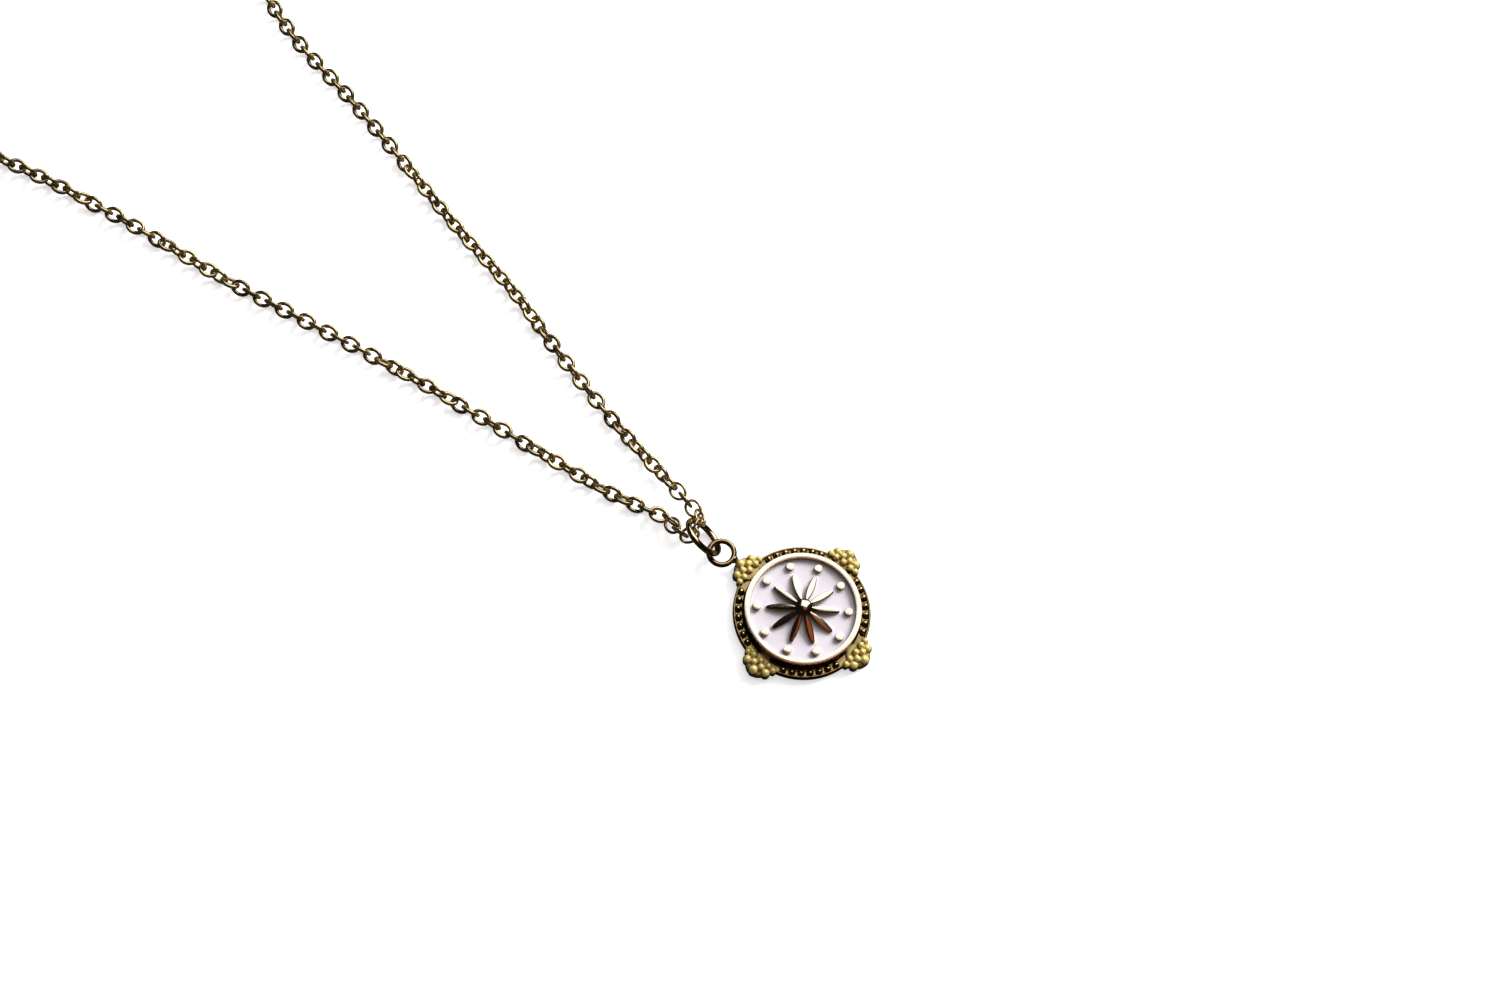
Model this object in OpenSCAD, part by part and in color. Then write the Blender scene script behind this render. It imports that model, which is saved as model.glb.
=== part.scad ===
// Star necklace: a round enamelled medallion with a ten-petal star on a fine cable chain.
// Millimetres. The medallion lies flat on z = 0 with its centre at the origin, +Y runs from
// the medallion to the clasp and +Z is up.

/* [Medallion] */
// Diameter across the plain edge
medallion_d = 15.2; // [15:0.1:15.5]
// Thickness of the plain edge
plate_t = 0.95; // [0.8:0.05:1.1]
// Outer diameter of the polished bezel ring
bezel_d = 12.96; // [12.8:0.02:13.1]
// Width of the bezel ring's flat top
bezel_w = 0.53; // [0.4:0.01:0.6]
// Height of the bezel ring above the back
bezel_h = 2.1; // [1.9:0.05:2.3]
// Height of the field that the enamel lies on
field_h = 0.9; // [0.7:0.05:1]

/* [Beaded rim] */
// Beads in a full turn of the rim, corners included
rim_beads = 44; // [40:4:48]
// Diameter of a rim bead
rim_bead_d = 0.8; // [0.7:0.02:0.84]
// Height of the rim beads' centres
rim_bead_z = 0.88; // [0.8:0.02:1]
// Half angle of the rim that each corner cluster covers
corner_span = 14; // [12:1:16]

/* [Corner clusters] */
// Distance from the centre to a corner's tip bead
tip_bead_r = 8.65; // [8.5:0.05:8.8]
// Diameter of the tip bead
tip_bead_d = 1.24; // [1:0.02:1.3]
// Diameter of the two lobes beside it
lobe_d = 1.2; // [1:0.02:1.24]
// Diameter of the three small beads inside the corner
grain_d = 0.62; // [0.5:0.02:0.7]

/* [Star] */
// Number of petals, and of dots beyond them
petals = 10; // [8:1:10]
// Distance from the centre to a petal's outer end
petal_out = 4.04; // [3.9:0.02:4.1]
// Greatest width of a petal
petal_w = 0.76; // [0.7:0.02:0.86]
// Slope of a petal, higher towards the centre
petal_slope = 13; // [8:1:14]
// Distance from the centre to the dots
dot_r = 5.05; // [4.95:0.05:5.1]
// Diameter of a dot
dot_d = 0.92; // [0.8:0.02:0.94]
// Diameter of the ball in the middle
ball_d = 1.9; // [1.8:0.02:1.94]
// Diameter of the flat on top of the ball
ball_flat_d = 0.8; // [0.6:0.05:0.9]

/* [Enamel] */
// Height of the enamel's surface above the back
enamel_h = 1.6; // [1.4:0.05:1.7]
// Gap between the enamel and the metal round it
enamel_gap = 0.03; // [0.02:0.01:0.05]

/* [Eye and jump ring] */
// Diameter of the soldered eye's wire
eye_wire = 0.58; // [0.54:0.02:0.6]
// Outer diameter of the soldered eye
eye_d = 3.32; // [3.3:0.02:3.34]
// Diameter of the jump ring's wire
ring_wire = 0.62; // [0.6:0.01:0.63]
// Outer diameter of the jump ring
ring_d = 5.16; // [5.14:0.02:5.18]
// Tilt of the jump ring from lying flat
ring_tilt = 52; // [51.5:0.5:52.5]

/* [Chain] */
// Outer diameter of a chain link
link_d = 2.06; // [2.05:0.01:2.07]
// Diameter of a chain link's wire
link_wire = 0.23; // [0.22:0.01:0.24]
// Distance between the centres of neighbouring links
link_pitch = 1.43; // [1.42:0.01:1.44]
// Slack between neighbours where the chain bends through the jump ring
bend_slack = 0.05; // [0.04:0.01:0.06]
// Diameter of the plain stretch at the back
back_d = 1.9; // [1.7:0.05:2]

/* [Clasp] */
// Outer diameter of the clasp's ring
clasp_d = 5.8; // [5.7:0.1:5.9]
// Diameter of the clasp's ring wire
clasp_wire = 1; // [0.9:0.05:1.05]
// Outer diameter of the clasp's eye
clasp_eye_d = 2.2; // [2.1:0.05:2.25]
// Diameter of the clasp's eye wire
clasp_eye_wire = 0.5; // [0.45:0.01:0.55]

/* [Hidden] */

edge_r = medallion_d / 2;
edge_bevel = 0.2;
plate_bevel = 0.08;
bezel_r = bezel_d / 2;
bezel_in = bezel_r - bezel_w;
bezel_edge = 0.07;
bezel_foot = 0.1;
// Channel that the rim beads lie in
channel_in = bezel_r + 0.14;
channel_out = edge_r - 0.17;
channel_h = plate_t - 0.2;
rim_bead_r = (channel_in + channel_out) / 2 + 0.02;

// Corner clusters, one at each end of the X and Y axes
corners = 4;
tip_bead_z = 0.78;
lobe_r = 8.15;
lobe_turn = 9.3;
lobe_z = 0.74;
grain_r = 7.52;
grain_turn = 8.4;
grain_z = 1.02;
pillar_inset = 0.05;
web_r = 7.8;
web_d = 2.7;
web_h = 0.84;

// How far the raised pieces reach down into the plate, and how far the cuts reach up
sink = 0.1;
cut_h = 2;

// The arcs of a petal's sides would meet beyond its blunt ends, the inner one in the ball
petal_in = 0.85;
petal_point_in = 0.55;
petal_point_out = 4.55;
petal_mid = (petal_point_in + petal_point_out) / 2;
petal_half = (petal_point_out - petal_point_in) / 2;
petal_arc_r = (petal_half * petal_half + petal_w * petal_w / 4) / petal_w;
petal_end_z = enamel_h + 0.18;
petal_bevel = 0.05;
dot_h = enamel_h + 0.34;
dot_bevel = 0.07;
dot_crown = 0.02;
ball_z = 2.3;
ball_top = sqrt(ball_d * ball_d - ball_flat_d * ball_flat_d) / 2;
ball_neck_d = 1.3;

eye_at = [-0.45, 11, 1.32];
solder_at = [-0.1, 9.52, 1.15];
solder_d = 0.96;
// The jump ring leans on the floor at its right side
ring_mid_r = (ring_d - ring_wire) / 2;
ring_turn = -18;
ring_at = [-0.55, 13.56, ring_mid_r * sin(ring_tilt) + ring_wire / 2];

// Route of the chain from the clasp's eye, round the loop and through the jump ring to the
// clasp's bow. Each row is x, y and the height that the links are lifted off the floor.
BACK_LEFT = [
    [-1.35, 199.2, 0], [-14, 196.3, 0], [-25, 189.5, 0], [-33.5, 180, 0], [-38, 168, 0],
    [-38.5, 156, 0], [-35.5, 144.5, 0], [-30, 133.5, 0], [-24, 123.5, 0], [-19.2, 114, 0]
];
FRONT_LEFT = [
    [-16, 104.5, 0], [-13.8, 95, 0], [-12.1, 85, 0], [-10.8, 75, 0], [-8.9, 65, 0],
    [-7.1, 55.5, 0], [-5.6, 46, 0], [-4, 34, 0], [-2.9, 26, 0],
    [-1, 17.8, 0], [-1.3, 17.35, 0.05], [-1.6, 15, 1.15]
];
BEND = [[-0.05, 14.9, 1.3]];
FRONT_RIGHT = [
    [1, 15.15, 1.05], [1.8, 18.1, 0.6], [2.45, 21, 0.3],
    [3.1, 24.5, 0], [4.6, 32, 0], [6.6, 40, 0], [9.2, 49, 0], [11.4, 60, 0],
    [13.8, 70, 0], [16, 80, 0], [17.6, 89, 0], [19.8, 96, 0]
];
BACK_RIGHT = [
    [23.6, 104.5, 0], [29, 114, 0], [35.5, 123.5, 0], [41.5, 133.5, 0], [45.8, 145, 0],
    [47.3, 157.5, 0], [45.5, 170, 0], [40, 181.5, 0], [31, 191, 0], [20, 196.8, 0],
    [6.95, 199.25, 0]
];
ROUTE = concat(BACK_LEFT, FRONT_LEFT, BEND, FRONT_RIGHT, BACK_RIGHT);
bend_row = len(BACK_LEFT) + len(FRONT_LEFT);

// Roll of the even links about the chain, against the distance in links from the bend:
// 0 lies flat, -90 stands up and -45 leans. The odd links are a quarter turn further round.
ROLL_LEFT = [
    [1, -80], [3, -75], [5, -90], [7, -45], [10, -45], [12, -2], [14, -2], [17, -45],
    [19, -85], [21, -85], [25, -5], [27, -5], [30, -50], [32, -72], [42, -75], [46, -5],
    [49, -5], [53, -85], [55, -85], [59, -5], [65, -5]
];
ROLL_RIGHT = [
    [0, -100], [1, -40], [3, -10], [5, -40], [7, -85], [9, -55], [12, -40], [14, -5],
    [19, -5], [23, -70], [38, -75], [41, -25], [59, -25]
];

// The clasp closes the loop at its far end. It leans over, so that one side touches the floor
// and the links that it holds have room to pass below its ring.
clasp_at = [3.85, 199.2];
clasp_lean = 7.5;
clasp_overlap = 0.15;
clasp_mid_r = (clasp_d - clasp_wire) / 2;

// The front stretch holds real links. The plain stretch at the back starts beyond them.
links_left = 63;
links_right = 58;
bend_reach = 4;
span_steps = 12;
back_sides = 8;
back_step = 4.7;
back_clear = 0.15;
link_r = (link_d - link_wire) / 2;

// Point at part t of the span that starts at row i, on a smooth curve through the rows
function row(i) = ROUTE[max(0, min(len(ROUTE) - 1, i))];
function curve(i, t) =
    let(a = row(i - 1), b = row(i), c = row(i + 1), d = row(i + 2))
    0.5 * (2 * b + t * (c - a) + t * t * (2 * a - 5 * b + 4 * c - d)
        + t * t * t * (3 * b - a - 3 * c + d));
LINE = [
    for (k = [0 : (len(ROUTE) - 1) * span_steps])
        let(p = curve(floor(k / span_steps), (k % span_steps) / span_steps))
        [p[0], p[1], max(0, p[2])]
];
// Length of the line up to each of its points
LENGTHS = [
    for (k = 0, sum = 0; k < len(LINE);
        sum = sum + (k + 1 < len(LINE) ? norm(LINE[k + 1] - LINE[k]) : 0), k = k + 1) sum
];
line_end = LENGTHS[len(LINE) - 1];
bend_s = LENGTHS[bend_row * span_steps];

// Point on the line at the length s, found by halving the stretch it lies in
function spot(s, lo = 0, hi = len(LINE) - 1) =
    hi - lo <= 1
        ? LINE[lo] + (LINE[hi] - LINE[lo]) * (s - LENGTHS[lo]) / (LENGTHS[hi] - LENGTHS[lo])
        : let(mid = floor((lo + hi) / 2))
            s < LENGTHS[mid] ? spot(s, lo, mid) : spot(s, mid, hi);

// Length at which link i lies: the links bunch a little where they bend
function clamp(v, reach) = max(-reach, min(reach, v));
function link_s(i) = bend_s + i * link_pitch - bend_slack * clamp(i, bend_reach);
function link_roll(i) =
    lookup(abs(i), i < 0 ? ROLL_LEFT : ROLL_RIGHT) + (i % 2 == 0 ? 0 : 90);
// Height of a lying link's centre: its lowest point touches the floor
function lie(roll) = link_r * max(abs(sin(roll)), abs(cos(roll))) + link_wire / 2;

module torus(mid_r, wire_d) {
    rotate_extrude($fn = 64) translate([mid_r, 0]) circle(d = wire_d, $fn = 32);
}

module around(r, angle) {
    rotate([0, 0, angle]) translate([r, 0, 0]) children();
}

// Back plate, bead channel and bezel ring, turned in one profile
module plate() {
    rotate_extrude($fn = 128) polygon([
        [0, 0], [edge_r - edge_bevel, 0], [edge_r, edge_bevel], [edge_r, plate_t - plate_bevel],
        [edge_r - plate_bevel, plate_t], [channel_out, plate_t], [channel_out, channel_h],
        [channel_in, channel_h], [bezel_r, plate_t + bezel_foot], [bezel_r, bezel_h - bezel_edge],
        [bezel_r - bezel_edge, bezel_h], [bezel_in + bezel_edge, bezel_h],
        [bezel_in, bezel_h - bezel_edge], [bezel_in, field_h], [0, field_h]
    ]);
}

module rim_bead_ring() {
    pitch = 360 / rim_beads;
    quarter = 360 / corners;
    for (i = [0 : rim_beads - 1])
        let(angle = (i + 0.5) * pitch, off = abs(angle - round(angle / quarter) * quarter))
        if (off > corner_span)
            around(rim_bead_r, angle) translate([0, 0, rim_bead_z])
                sphere(d = rim_bead_d, $fn = 32);
}

module bead_on_pillar(d, z) {
    translate([0, 0, z]) sphere(d = d, $fn = 32);
    cylinder(d = d - 2 * pillar_inset, h = z, $fn = 32);
}

// Three large beads and three grains on a small web
module corner_cluster() {
    translate([web_r, 0, 0]) cylinder(d = web_d, h = web_h, $fn = 48);
    around(tip_bead_r, 0) bead_on_pillar(tip_bead_d, tip_bead_z);
    for (side = [-1, 1])
        around(lobe_r, side * lobe_turn) bead_on_pillar(lobe_d, lobe_z);
    for (side = [-1, 0, 1])
        around(grain_r, side * grain_turn) translate([0, 0, grain_z])
            sphere(d = grain_d, $fn = 32);
}

// Leaf between two arcs, with blunt ends
module petal_outline(grow) {
    side = petal_arc_r - petal_w / 2;
    intersection() {
        translate([petal_mid, -side]) circle(r = petal_arc_r + grow, $fn = 128);
        translate([petal_mid, side]) circle(r = petal_arc_r + grow, $fn = 128);
        difference() {
            circle(r = petal_out + grow, $fn = 128);
            circle(r = petal_in - grow, $fn = 64);
        }
    }
}

// One step of a petal: upright sides and a flat top that slopes down outwards
module petal_step(grow, rise) {
    difference() {
        translate([0, 0, field_h - sink]) linear_extrude(height = cut_h) petal_outline(grow);
        translate([petal_out, 0, petal_end_z + rise]) rotate([0, petal_slope, 0])
            translate([-2 * petal_out, -petal_w, 0]) cube([3 * petal_out, 2 * petal_w, cut_h]);
    }
}

module petal() {
    petal_step(0, 0);
    petal_step(-petal_bevel, petal_bevel);
}

module dot() {
    rotate_extrude($fn = 48) polygon([
        [0, field_h - sink], [dot_d / 2, field_h - sink], [dot_d / 2, dot_h - dot_bevel],
        [dot_d / 2 - dot_bevel, dot_h - dot_crown], [0, dot_h]
    ]);
}

// Ball on a neck, worn flat on top
module centre_ball() {
    difference() {
        translate([0, 0, ball_z]) sphere(d = ball_d, $fn = 48);
        translate([-ball_d, -ball_d, ball_z + ball_top]) cube(2 * ball_d);
    }
    translate([0, 0, field_h - sink])
        cylinder(d = ball_neck_d, h = ball_z - field_h, $fn = 48);
}

// Eye for the jump ring, lying level and soldered to the corner that points to the chain
module eye() {
    translate(eye_at) torus((eye_d - eye_wire) / 2, eye_wire);
    translate(solder_at) sphere(d = solder_d, $fn = 32);
}

module medallion() {
    color("goldenrod") union() {
        plate();
        rim_bead_ring();
        for (k = [0 : corners - 1]) rotate([0, 0, k * 360 / corners]) corner_cluster();
        for (k = [0 : petals - 1]) rotate([0, 0, 90 + k * 360 / petals]) {
            petal();
            translate([dot_r, 0, 0]) dot();
        }
        centre_ball();
        eye();
    }
}

// Enamel poured into the field round the raised star and dots
module enamel() {
    color("thistle") difference() {
        translate([0, 0, field_h + enamel_gap])
            cylinder(r = bezel_in - enamel_gap, h = enamel_h - field_h - enamel_gap, $fn = 128);
        translate([0, 0, field_h]) cylinder(d = ball_d + 2 * enamel_gap, h = cut_h, $fn = 48);
        for (k = [0 : petals - 1]) rotate([0, 0, 90 + k * 360 / petals]) {
            translate([0, 0, field_h]) linear_extrude(height = cut_h)
                petal_outline(enamel_gap);
            translate([dot_r, 0, field_h])
                cylinder(d = dot_d + 2 * enamel_gap, h = cut_h, $fn = 48);
        }
    }
}

module jump_ring() {
    color("goldenrod") translate(ring_at) rotate([0, ring_tilt, ring_turn])
        torus(ring_mid_r, ring_wire);
}

module chain_link(i) {
    at = spot(link_s(i));
    along = spot(link_s(i + 1)) - spot(link_s(i - 1));
    roll = link_roll(i);
    translate([at[0], at[1], at[2] + lie(roll)])
        rotate([roll, -asin(along[2] / norm(along)), atan2(along[1], along[0])])
            torus(link_r, link_wire);
}

module chain_front() {
    color("darkkhaki") for (i = [-links_left : links_right]) chain_link(i);
}

// Plain round stretch from length s0 to s1, lying on the floor
module chain_tube(s0, s1) {
    rings = ceil((s1 - s0) / back_step);
    rise = back_d / 2;
    centres = [for (k = [0 : rings]) spot(s0 + (s1 - s0) * k / rings) + [0, 0, rise]];
    headings = [
        for (k = [0 : rings])
            let(d = centres[min(rings, k + 1)] - centres[max(0, k - 1)]) atan2(d[1], d[0])
    ];
    points = [
        for (k = [0 : rings], j = [0 : back_sides - 1])
            let(turn = j * 360 / back_sides, h = headings[k])
            centres[k] + rise * [-sin(h) * cos(turn), cos(h) * cos(turn), sin(turn)]
    ];
    sides = [
        for (k = [0 : rings - 1], j = [0 : back_sides - 1])
            let(a = k * back_sides, b = a + back_sides, n = (j + 1) % back_sides)
            [a + j, a + n, b + n, b + j]
    ];
    first_cap = [[for (j = [back_sides - 1 : -1 : 0]) j]];
    last_cap = [[for (j = [0 : back_sides - 1]) rings * back_sides + j]];
    polyhedron(points, concat(first_cap, sides, last_cap), convexity = 6);
}

module chain_back() {
    end_gap = link_d / 2 + back_clear;
    color("darkkhaki") {
        chain_tube(0, link_s(-links_left) - end_gap);
        chain_tube(link_s(links_right) + end_gap, line_end);
    }
}

// Plain closed bolt ring, with a small eye at its left side
module clasp() {
    eye_mid_r = (clasp_eye_d - clasp_eye_wire) / 2;
    color("goldenrod")
        translate([clasp_at[0], clasp_at[1], clasp_mid_r * sin(clasp_lean) + clasp_wire / 2])
            rotate([clasp_lean, 0, 0]) union() {
                torus(clasp_mid_r, clasp_wire);
                translate([clasp_overlap - (clasp_d + clasp_eye_d) / 2, 0, 0])
                    torus(eye_mid_r, clasp_eye_wire);
            }
}

medallion();
enamel();
jump_ring();
chain_front();
chain_back();
clasp();
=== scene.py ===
"""Star necklace: a round enamelled medallion on a fine cable chain, closed by a plain clasp.

Sizes in the classes are millimetres and degrees, a jeweller's units. Draft turns them into metres
when it makes an object, so every object is in metres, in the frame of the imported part.
"""

import logging
import math
from dataclasses import dataclass, field
from enum import Enum

import bpy
import numpy as np
from mathutils import Matrix, Vector


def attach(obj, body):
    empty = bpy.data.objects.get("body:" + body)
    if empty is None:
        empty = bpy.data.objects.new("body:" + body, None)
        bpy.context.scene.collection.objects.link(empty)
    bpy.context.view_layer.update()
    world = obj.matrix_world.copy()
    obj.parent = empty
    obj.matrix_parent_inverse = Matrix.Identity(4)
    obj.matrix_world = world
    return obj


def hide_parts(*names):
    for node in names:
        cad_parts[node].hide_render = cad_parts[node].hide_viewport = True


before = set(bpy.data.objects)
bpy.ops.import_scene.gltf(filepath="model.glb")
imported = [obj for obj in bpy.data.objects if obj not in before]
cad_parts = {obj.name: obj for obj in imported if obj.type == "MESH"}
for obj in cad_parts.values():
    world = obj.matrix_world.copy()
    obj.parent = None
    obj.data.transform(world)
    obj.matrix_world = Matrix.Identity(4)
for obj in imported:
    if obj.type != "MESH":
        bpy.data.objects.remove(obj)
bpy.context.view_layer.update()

log = logging.getLogger("star_necklace")
MM = 0.001
BODY = "root"
CREASE = 40
PLAIN_TONE = 0.5
UPRIGHT = np.eye(3)
# A Mix node's factor, its two colours and its mixed colour, by place among its sockets
MIX_INPUTS, MIX_RESULT = (0, 6, 7), 2

Colour = tuple[float, float, float]
Point = tuple[float, float, float]
Row = tuple[float, float]
Face = tuple[int, ...]
Shape = tuple[np.ndarray, list[Face]]
Finish = bpy.types.Material
Socket = bpy.types.NodeSocket
Sockets = bpy.types.bpy_prop_collection
Sources = dict[str | int, object]
Tree = bpy.types.NodeTree


class Slot(Enum):
    """The record's material slots, one for each kind of piece here."""

    CAST = "cast_metal"
    ENAMEL = "enamel"
    WIRE = "wire_metal"
    CHAIN = "chain_metal"


class Kind(Enum):
    """What a shader group's socket carries."""

    COLOUR = "NodeSocketColor"
    VALUE = "NodeSocketFloat"


class Noise(Enum):
    """How fine a noise pattern is, in turns per millimetre."""

    BROAD = 0.35
    DRIFT = 0.8
    RIPPLE = 1.6
    CAST = 2.6
    GRAIN = 9.0
    HAIR = 24.0


# Shared mesh shapes


def filleted(corners: list[Point], steps: int = 4) -> list[Row]:
    """Rounds the corners of a turned outline.

    Args:
        corners: Rows of distance from the axis, height and fillet radius, 0 at both ends.
        steps: Straight pieces in each fillet.

    Returns:
        The outline, as rows of distance and height.
    """
    outline: list[Row] = []
    for k, (r, z, fillet) in enumerate(corners):
        if fillet == 0:
            outline.append((r, z))
            continue
        here = np.array([r, z])
        before, after = (np.array(corners[n][:2]) - here for n in (k - 1, k + 1))
        before, after = before / np.linalg.norm(before), after / np.linalg.norm(after)
        reach = fillet / math.tan(math.acos(before @ after) / 2)
        start, end = here + before * reach, here + after * reach
        for t in np.linspace(0, 1, steps + 1):
            outline.append(tuple((1 - t) ** 2 * start + 2 * t * (1 - t) * here + t * t * end))
    return outline


def spun(rows: list[Row], segments: int) -> np.ndarray:
    """The points of an outline's rows, each taken round the axis in as many segments."""
    t = np.arange(segments) * 2 * math.pi / segments
    return np.vstack([np.c_[r * np.cos(t), r * np.sin(t), np.full(segments, z)] for r, z in rows])


def woven(rows: int, columns: int) -> list[Face]:
    """The faces of a grid of points, listed row after row, that closes both ways."""
    places, corners = np.ndindex(rows, columns), ((0, 0), (1, 0), (1, 1), (0, 1))
    return [tuple((k + u) % rows * columns + (j + v) % columns for u, v in corners) for k, j in places]


def turned(outline: list[Row], segments: int) -> Shape:
    """Turns an outline that starts and ends on the axis.

    Args:
        outline: Rows of distance from the axis and height, from the bottom up.
        segments: Pieces in a full turn.

    Returns:
        The closed shape.
    """
    rows = outline[1:-1]
    foot, tip = ([[0, 0, outline[end][1]]] for end in (0, -1))
    top = 1 + len(rows) * segments
    last = top - segments
    faces: list[Face] = []
    for j in range(segments):
        n = (j + 1) % segments
        faces.append((0, 1 + n, 1 + j))
        for a in range(1, last, segments):
            faces.append((a + j, a + n, a + segments + n, a + segments + j))
        faces.append((last + j, last + n, top))
    return np.vstack([foot, spun(rows, segments), tip]), faces


def turned_ring(outline: list[Row], segments: int) -> Shape:
    """Turns a closed outline, its last point the same as the first, that stays clear of the axis."""
    faces = [(a, d, c, b) for a, b, c, d in woven(len(outline) - 1, segments)]
    return spun(outline[:-1], segments), faces


def ball(diameter: float, rings: int = 16, segments: int = 28) -> Shape:
    """A ball about the origin, in rings from pole to pole and segments round the axis."""
    turns = np.linspace(-math.pi / 2, math.pi / 2, rings + 1)
    return turned([(diameter / 2 * math.cos(t), diameter / 2 * math.sin(t)) for t in turns], segments)


def wire_loop(
    length: float, width: float, wire: float, segments: int, sides: int, square: float = 1
) -> Shape:
    """Bends wire to a closed oval in the XY plane.

    Args:
        length: The oval's length along X, over the wire.
        width: Its width along Y, over the wire.
        wire: The wire's thickness.
        segments: Pieces round the oval.
        sides: Pieces round the wire.
        square: 1 for a round wire, less for one with flatter sides.

    Returns:
        The oval.
    """
    half_length, half_width = (length - wire) / 2, (width - wire) / 2
    t = np.arange(segments) * 2 * math.pi / segments
    centre = np.c_[half_length * np.cos(t), half_width * np.sin(t), 0 * t]
    outward = np.c_[half_width * np.cos(t), half_length * np.sin(t), 0 * t]
    outward /= np.linalg.norm(outward, axis=1)[:, None]
    s = np.arange(sides) * 2 * math.pi / sides
    in_plane, across = (np.sign(v) * np.abs(v) ** square for v in (np.cos(s), np.sin(s)))
    points = (
        centre[:, None] + wire / 2 * in_plane[:, None] * outward[:, None]
        + wire / 2 * across[:, None] * np.array([0, 0, 1.0])
    )
    return points.reshape(-1, 3), woven(segments, sides)


def turn(axis: str, degrees: float) -> np.ndarray:
    """The matrix of a turn about an axis."""
    return np.array(Matrix.Rotation(math.radians(degrees), 3, axis))


def polar(radius: float, angle: float, z: float = 0) -> Point:
    """The point at a distance from the axis, an angle in degrees and a height."""
    return radius * math.cos(math.radians(angle)), radius * math.sin(math.radians(angle)), z


def placed(name: str, data: bpy.types.ID) -> bpy.types.Object:
    """An object in the scene, made of a mesh, a lamp or a camera."""
    bpy.context.scene.collection.objects.link(made := bpy.data.objects.new(name, data))
    return made


class Draft:
    """Points and faces in millimetres that become one object."""

    def __init__(self, *shapes: Shape) -> None:
        """Starts with some shapes, where they are."""
        self.parts = [(points, faces, PLAIN_TONE) for points, faces in shapes]

    def add(
        self, shape: Shape, turned_by: np.ndarray = UPRIGHT, at: Point = (0, 0, 0), tone: float = PLAIN_TONE
    ) -> None:
        """Adds a closed shape, turned and then moved, with a tone from 0 to 1 for its material."""
        points, faces = shape
        self.parts.append((points @ turned_by.T + at, faces, tone))

    def mesh(self, name: str, scale: float) -> bpy.types.Mesh:
        """Makes the mesh.

        Args:
            name: The mesh's name.
            scale: What the points are multiplied by.

        Returns:
            The mesh, with its tones as the attribute "tone".
        """
        points, faces, tones = [], [], []
        for part, part_faces, tone in self.parts:
            faces += [tuple(v + len(points) for v in face) for face in part_faces]
            points += (part * scale).tolist()
            tones += [tone] * len(part)
        mesh = bpy.data.meshes.new(name)
        mesh.from_pydata(points, [], faces)
        mesh.attributes.new("tone", "FLOAT", "POINT").data.foreach_set("value", tones)
        mesh.validate()
        return mesh

    def fused(self, voxel: float, passes: int) -> Shape:
        """Melts all that was added into one skin, as a casting is.

        Args:
            voxel: Size of the voxels that the skin is read from.
            passes: How often the skin is smoothed.

        Returns:
            The skin.
        """
        blank = placed("fusing", self.mesh("fusing", 1.0))
        remesh = blank.modifiers.new("skin", "REMESH")
        remesh.mode, remesh.voxel_size = "VOXEL", voxel
        smooth = blank.modifiers.new("melt", "SMOOTH")
        smooth.factor, smooth.iterations = 0.5, passes
        evaluated = blank.evaluated_get(bpy.context.evaluated_depsgraph_get())
        skin = evaluated.to_mesh()
        points = np.zeros(len(skin.vertices) * 3)
        skin.vertices.foreach_get("co", points)
        faces = [tuple(p.vertices) for p in skin.polygons]
        evaluated.to_mesh_clear()
        bpy.data.objects.remove(blank)
        return points.reshape(-1, 3), faces

    def piece(self, name: str, finish: Finish, slot: Slot) -> bpy.types.Object:
        """Makes the object, in metres, and lets it ride on the necklace's body.

        Args:
            name: The piece's name.
            finish: Its material.
            slot: The record's material slot for it; not used.

        Returns:
            The object.
        """
        mesh = self.mesh(name, MM)
        mesh.shade_smooth()
        mesh.set_sharp_from_angle(angle=math.radians(CREASE))
        mesh.materials.append(finish)
        made = placed(name, mesh)
        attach(made, BODY)
        mesh.calc_loop_triangles()
        log.info("%s: %d triangles", name, len(mesh.loop_triangles))
        return made


def ringed(shape: Shape, angles: list[float], radius: float = 0, z: float = 0) -> Draft:
    """Copies of a shape round the axis, each moved out and up and turned by its angle."""
    points, faces = shape
    return Draft(*((points @ turn("Z", a).T + polar(radius, a, z), faces) for a in angles))


# Shader nodes, and the groups that more than one finish uses


class Wiring:
    """The nodes of one tree and the links between them."""

    def __init__(self, tree: Tree) -> None:
        """Takes the tree that it fills."""
        self.tree = tree

    def feed(self, targets: Sockets, sources: Sources) -> None:
        """Links sockets or sets their values.

        Args:
            targets: A node's sockets.
            sources: The socket or the value for each, by its name or its place.
        """
        for label, source in sources.items():
            if isinstance(source, Socket):
                self.tree.links.new(source, targets[label])
            else:
                targets[label].default_value = source

    def node(self, kind: str, sources: Sources | None = None, **settings: object) -> bpy.types.Node:
        """Adds a node.

        Args:
            kind: The node's type.
            sources: What feeds its inputs.
            settings: Its settings by name.

        Returns:
            The node.
        """
        made = self.tree.nodes.new(kind)
        for label, value in settings.items():
            setattr(made, label, value)
        self.feed(made.inputs, sources or {})
        return made

    def maths(self, operation: str, *terms: object, clamp: bool = False) -> Socket:
        """The result of a Math node on sockets or numbers, kept between 0 and 1 if clamped."""
        sources = dict(enumerate(terms))
        return self.node("ShaderNodeMath", sources, operation=operation, use_clamp=clamp).outputs[0]

    def blend(self, factor: Socket, low: object, high: object) -> Socket:
        """Two colours, sockets or values, mixed by the factor, which is the second one's share."""
        sources = dict(zip(MIX_INPUTS, (factor, low, high)))
        return self.node("ShaderNodeMix", sources, data_type="RGBA").outputs[MIX_RESULT]


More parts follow.
